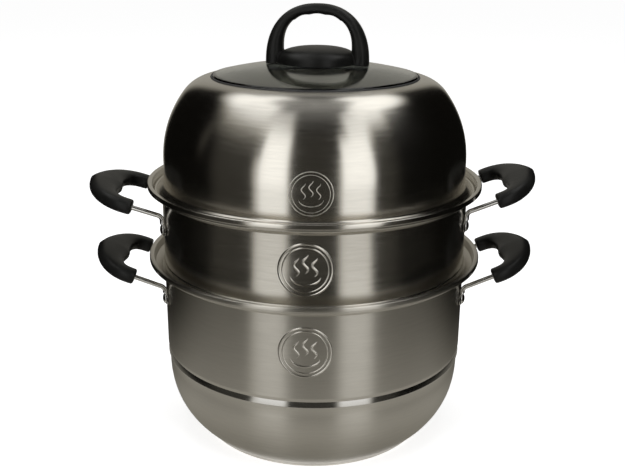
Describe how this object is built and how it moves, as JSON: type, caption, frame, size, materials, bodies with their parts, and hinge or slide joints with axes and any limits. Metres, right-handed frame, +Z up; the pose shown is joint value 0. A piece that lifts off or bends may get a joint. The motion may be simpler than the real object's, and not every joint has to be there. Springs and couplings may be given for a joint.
{
  "type": "three-tier steamer pot",
  "caption": "Tall stainless soup pot with a steam plate inside, a steamer tier standing in its rim, and a domed lid with a glass top and a black arched handle.",
  "frame": {"origin": "middle of the round face the pot stands on", "axes": "+Z up along the pot's axis of revolution, +X towards the side handle on the viewer's right, -Y the front that faces the viewer"},
  "size_m": [0.4733, 0.3524, 0.4523],
  "materials": {
    "satin_steel": "brushed round the body, semi-bright",
    "polished_steel": "polished stainless steel",
    "black_bakelite": "semi-gloss moulded",
    "clear_glass": "clear tempered glass",
    "black_silicone": "matte",
    "aluminium_core": "plain, enclosed by the steel cap"
  },
  "bodies": {
    "pot": {"pot_shell": "satin_steel", "pot_base_cap": "satin_steel", "pot_base_core": "aluminium_core", "pot_left_handle_wire": "polished_steel", "pot_left_handle_grip": "black_bakelite", "pot_left_rivet_front": "polished_steel", "pot_left_rivet_back": "polished_steel", "pot_right_handle_wire": "polished_steel", "pot_right_handle_grip": "black_bakelite", "pot_right_rivet_front": "polished_steel", "pot_right_rivet_back": "polished_steel"},
    "steam_plate": {"steam_plate": "satin_steel"},
    "tier": {"tier_shell": "satin_steel", "tier_left_handle_wire": "polished_steel", "tier_left_handle_grip": "black_bakelite", "tier_left_rivet_front": "polished_steel", "tier_left_rivet_back": "polished_steel", "tier_right_handle_wire": "polished_steel", "tier_right_handle_grip": "black_bakelite", "tier_right_rivet_front": "polished_steel", "tier_right_rivet_back": "polished_steel"},
    "lid": {"lid_shell": "satin_steel", "lid_glass": "clear_glass", "lid_gasket": "black_silicone", "lid_handle": "black_bakelite", "lid_soft_washer": "black_silicone", "lid_steel_washer": "polished_steel", "lid_handle_screw": "polished_steel"}
  },
  "joints": [
    {"name": "tier_lift", "type": "slide", "parent": "pot", "child": "tier", "axis": [0, 0, 1], "range_m": [0, 0.12]},
    {"name": "lid_lift", "type": "slide", "parent": "tier", "child": "lid", "axis": [0, 0, 1], "range_m": [0, 0.12]},
    {"name": "steam_plate_lift", "type": "slide", "parent": "pot", "child": "steam_plate", "axis": [0, 0, 1], "range_m": [0, 0.07]}
  ]
}
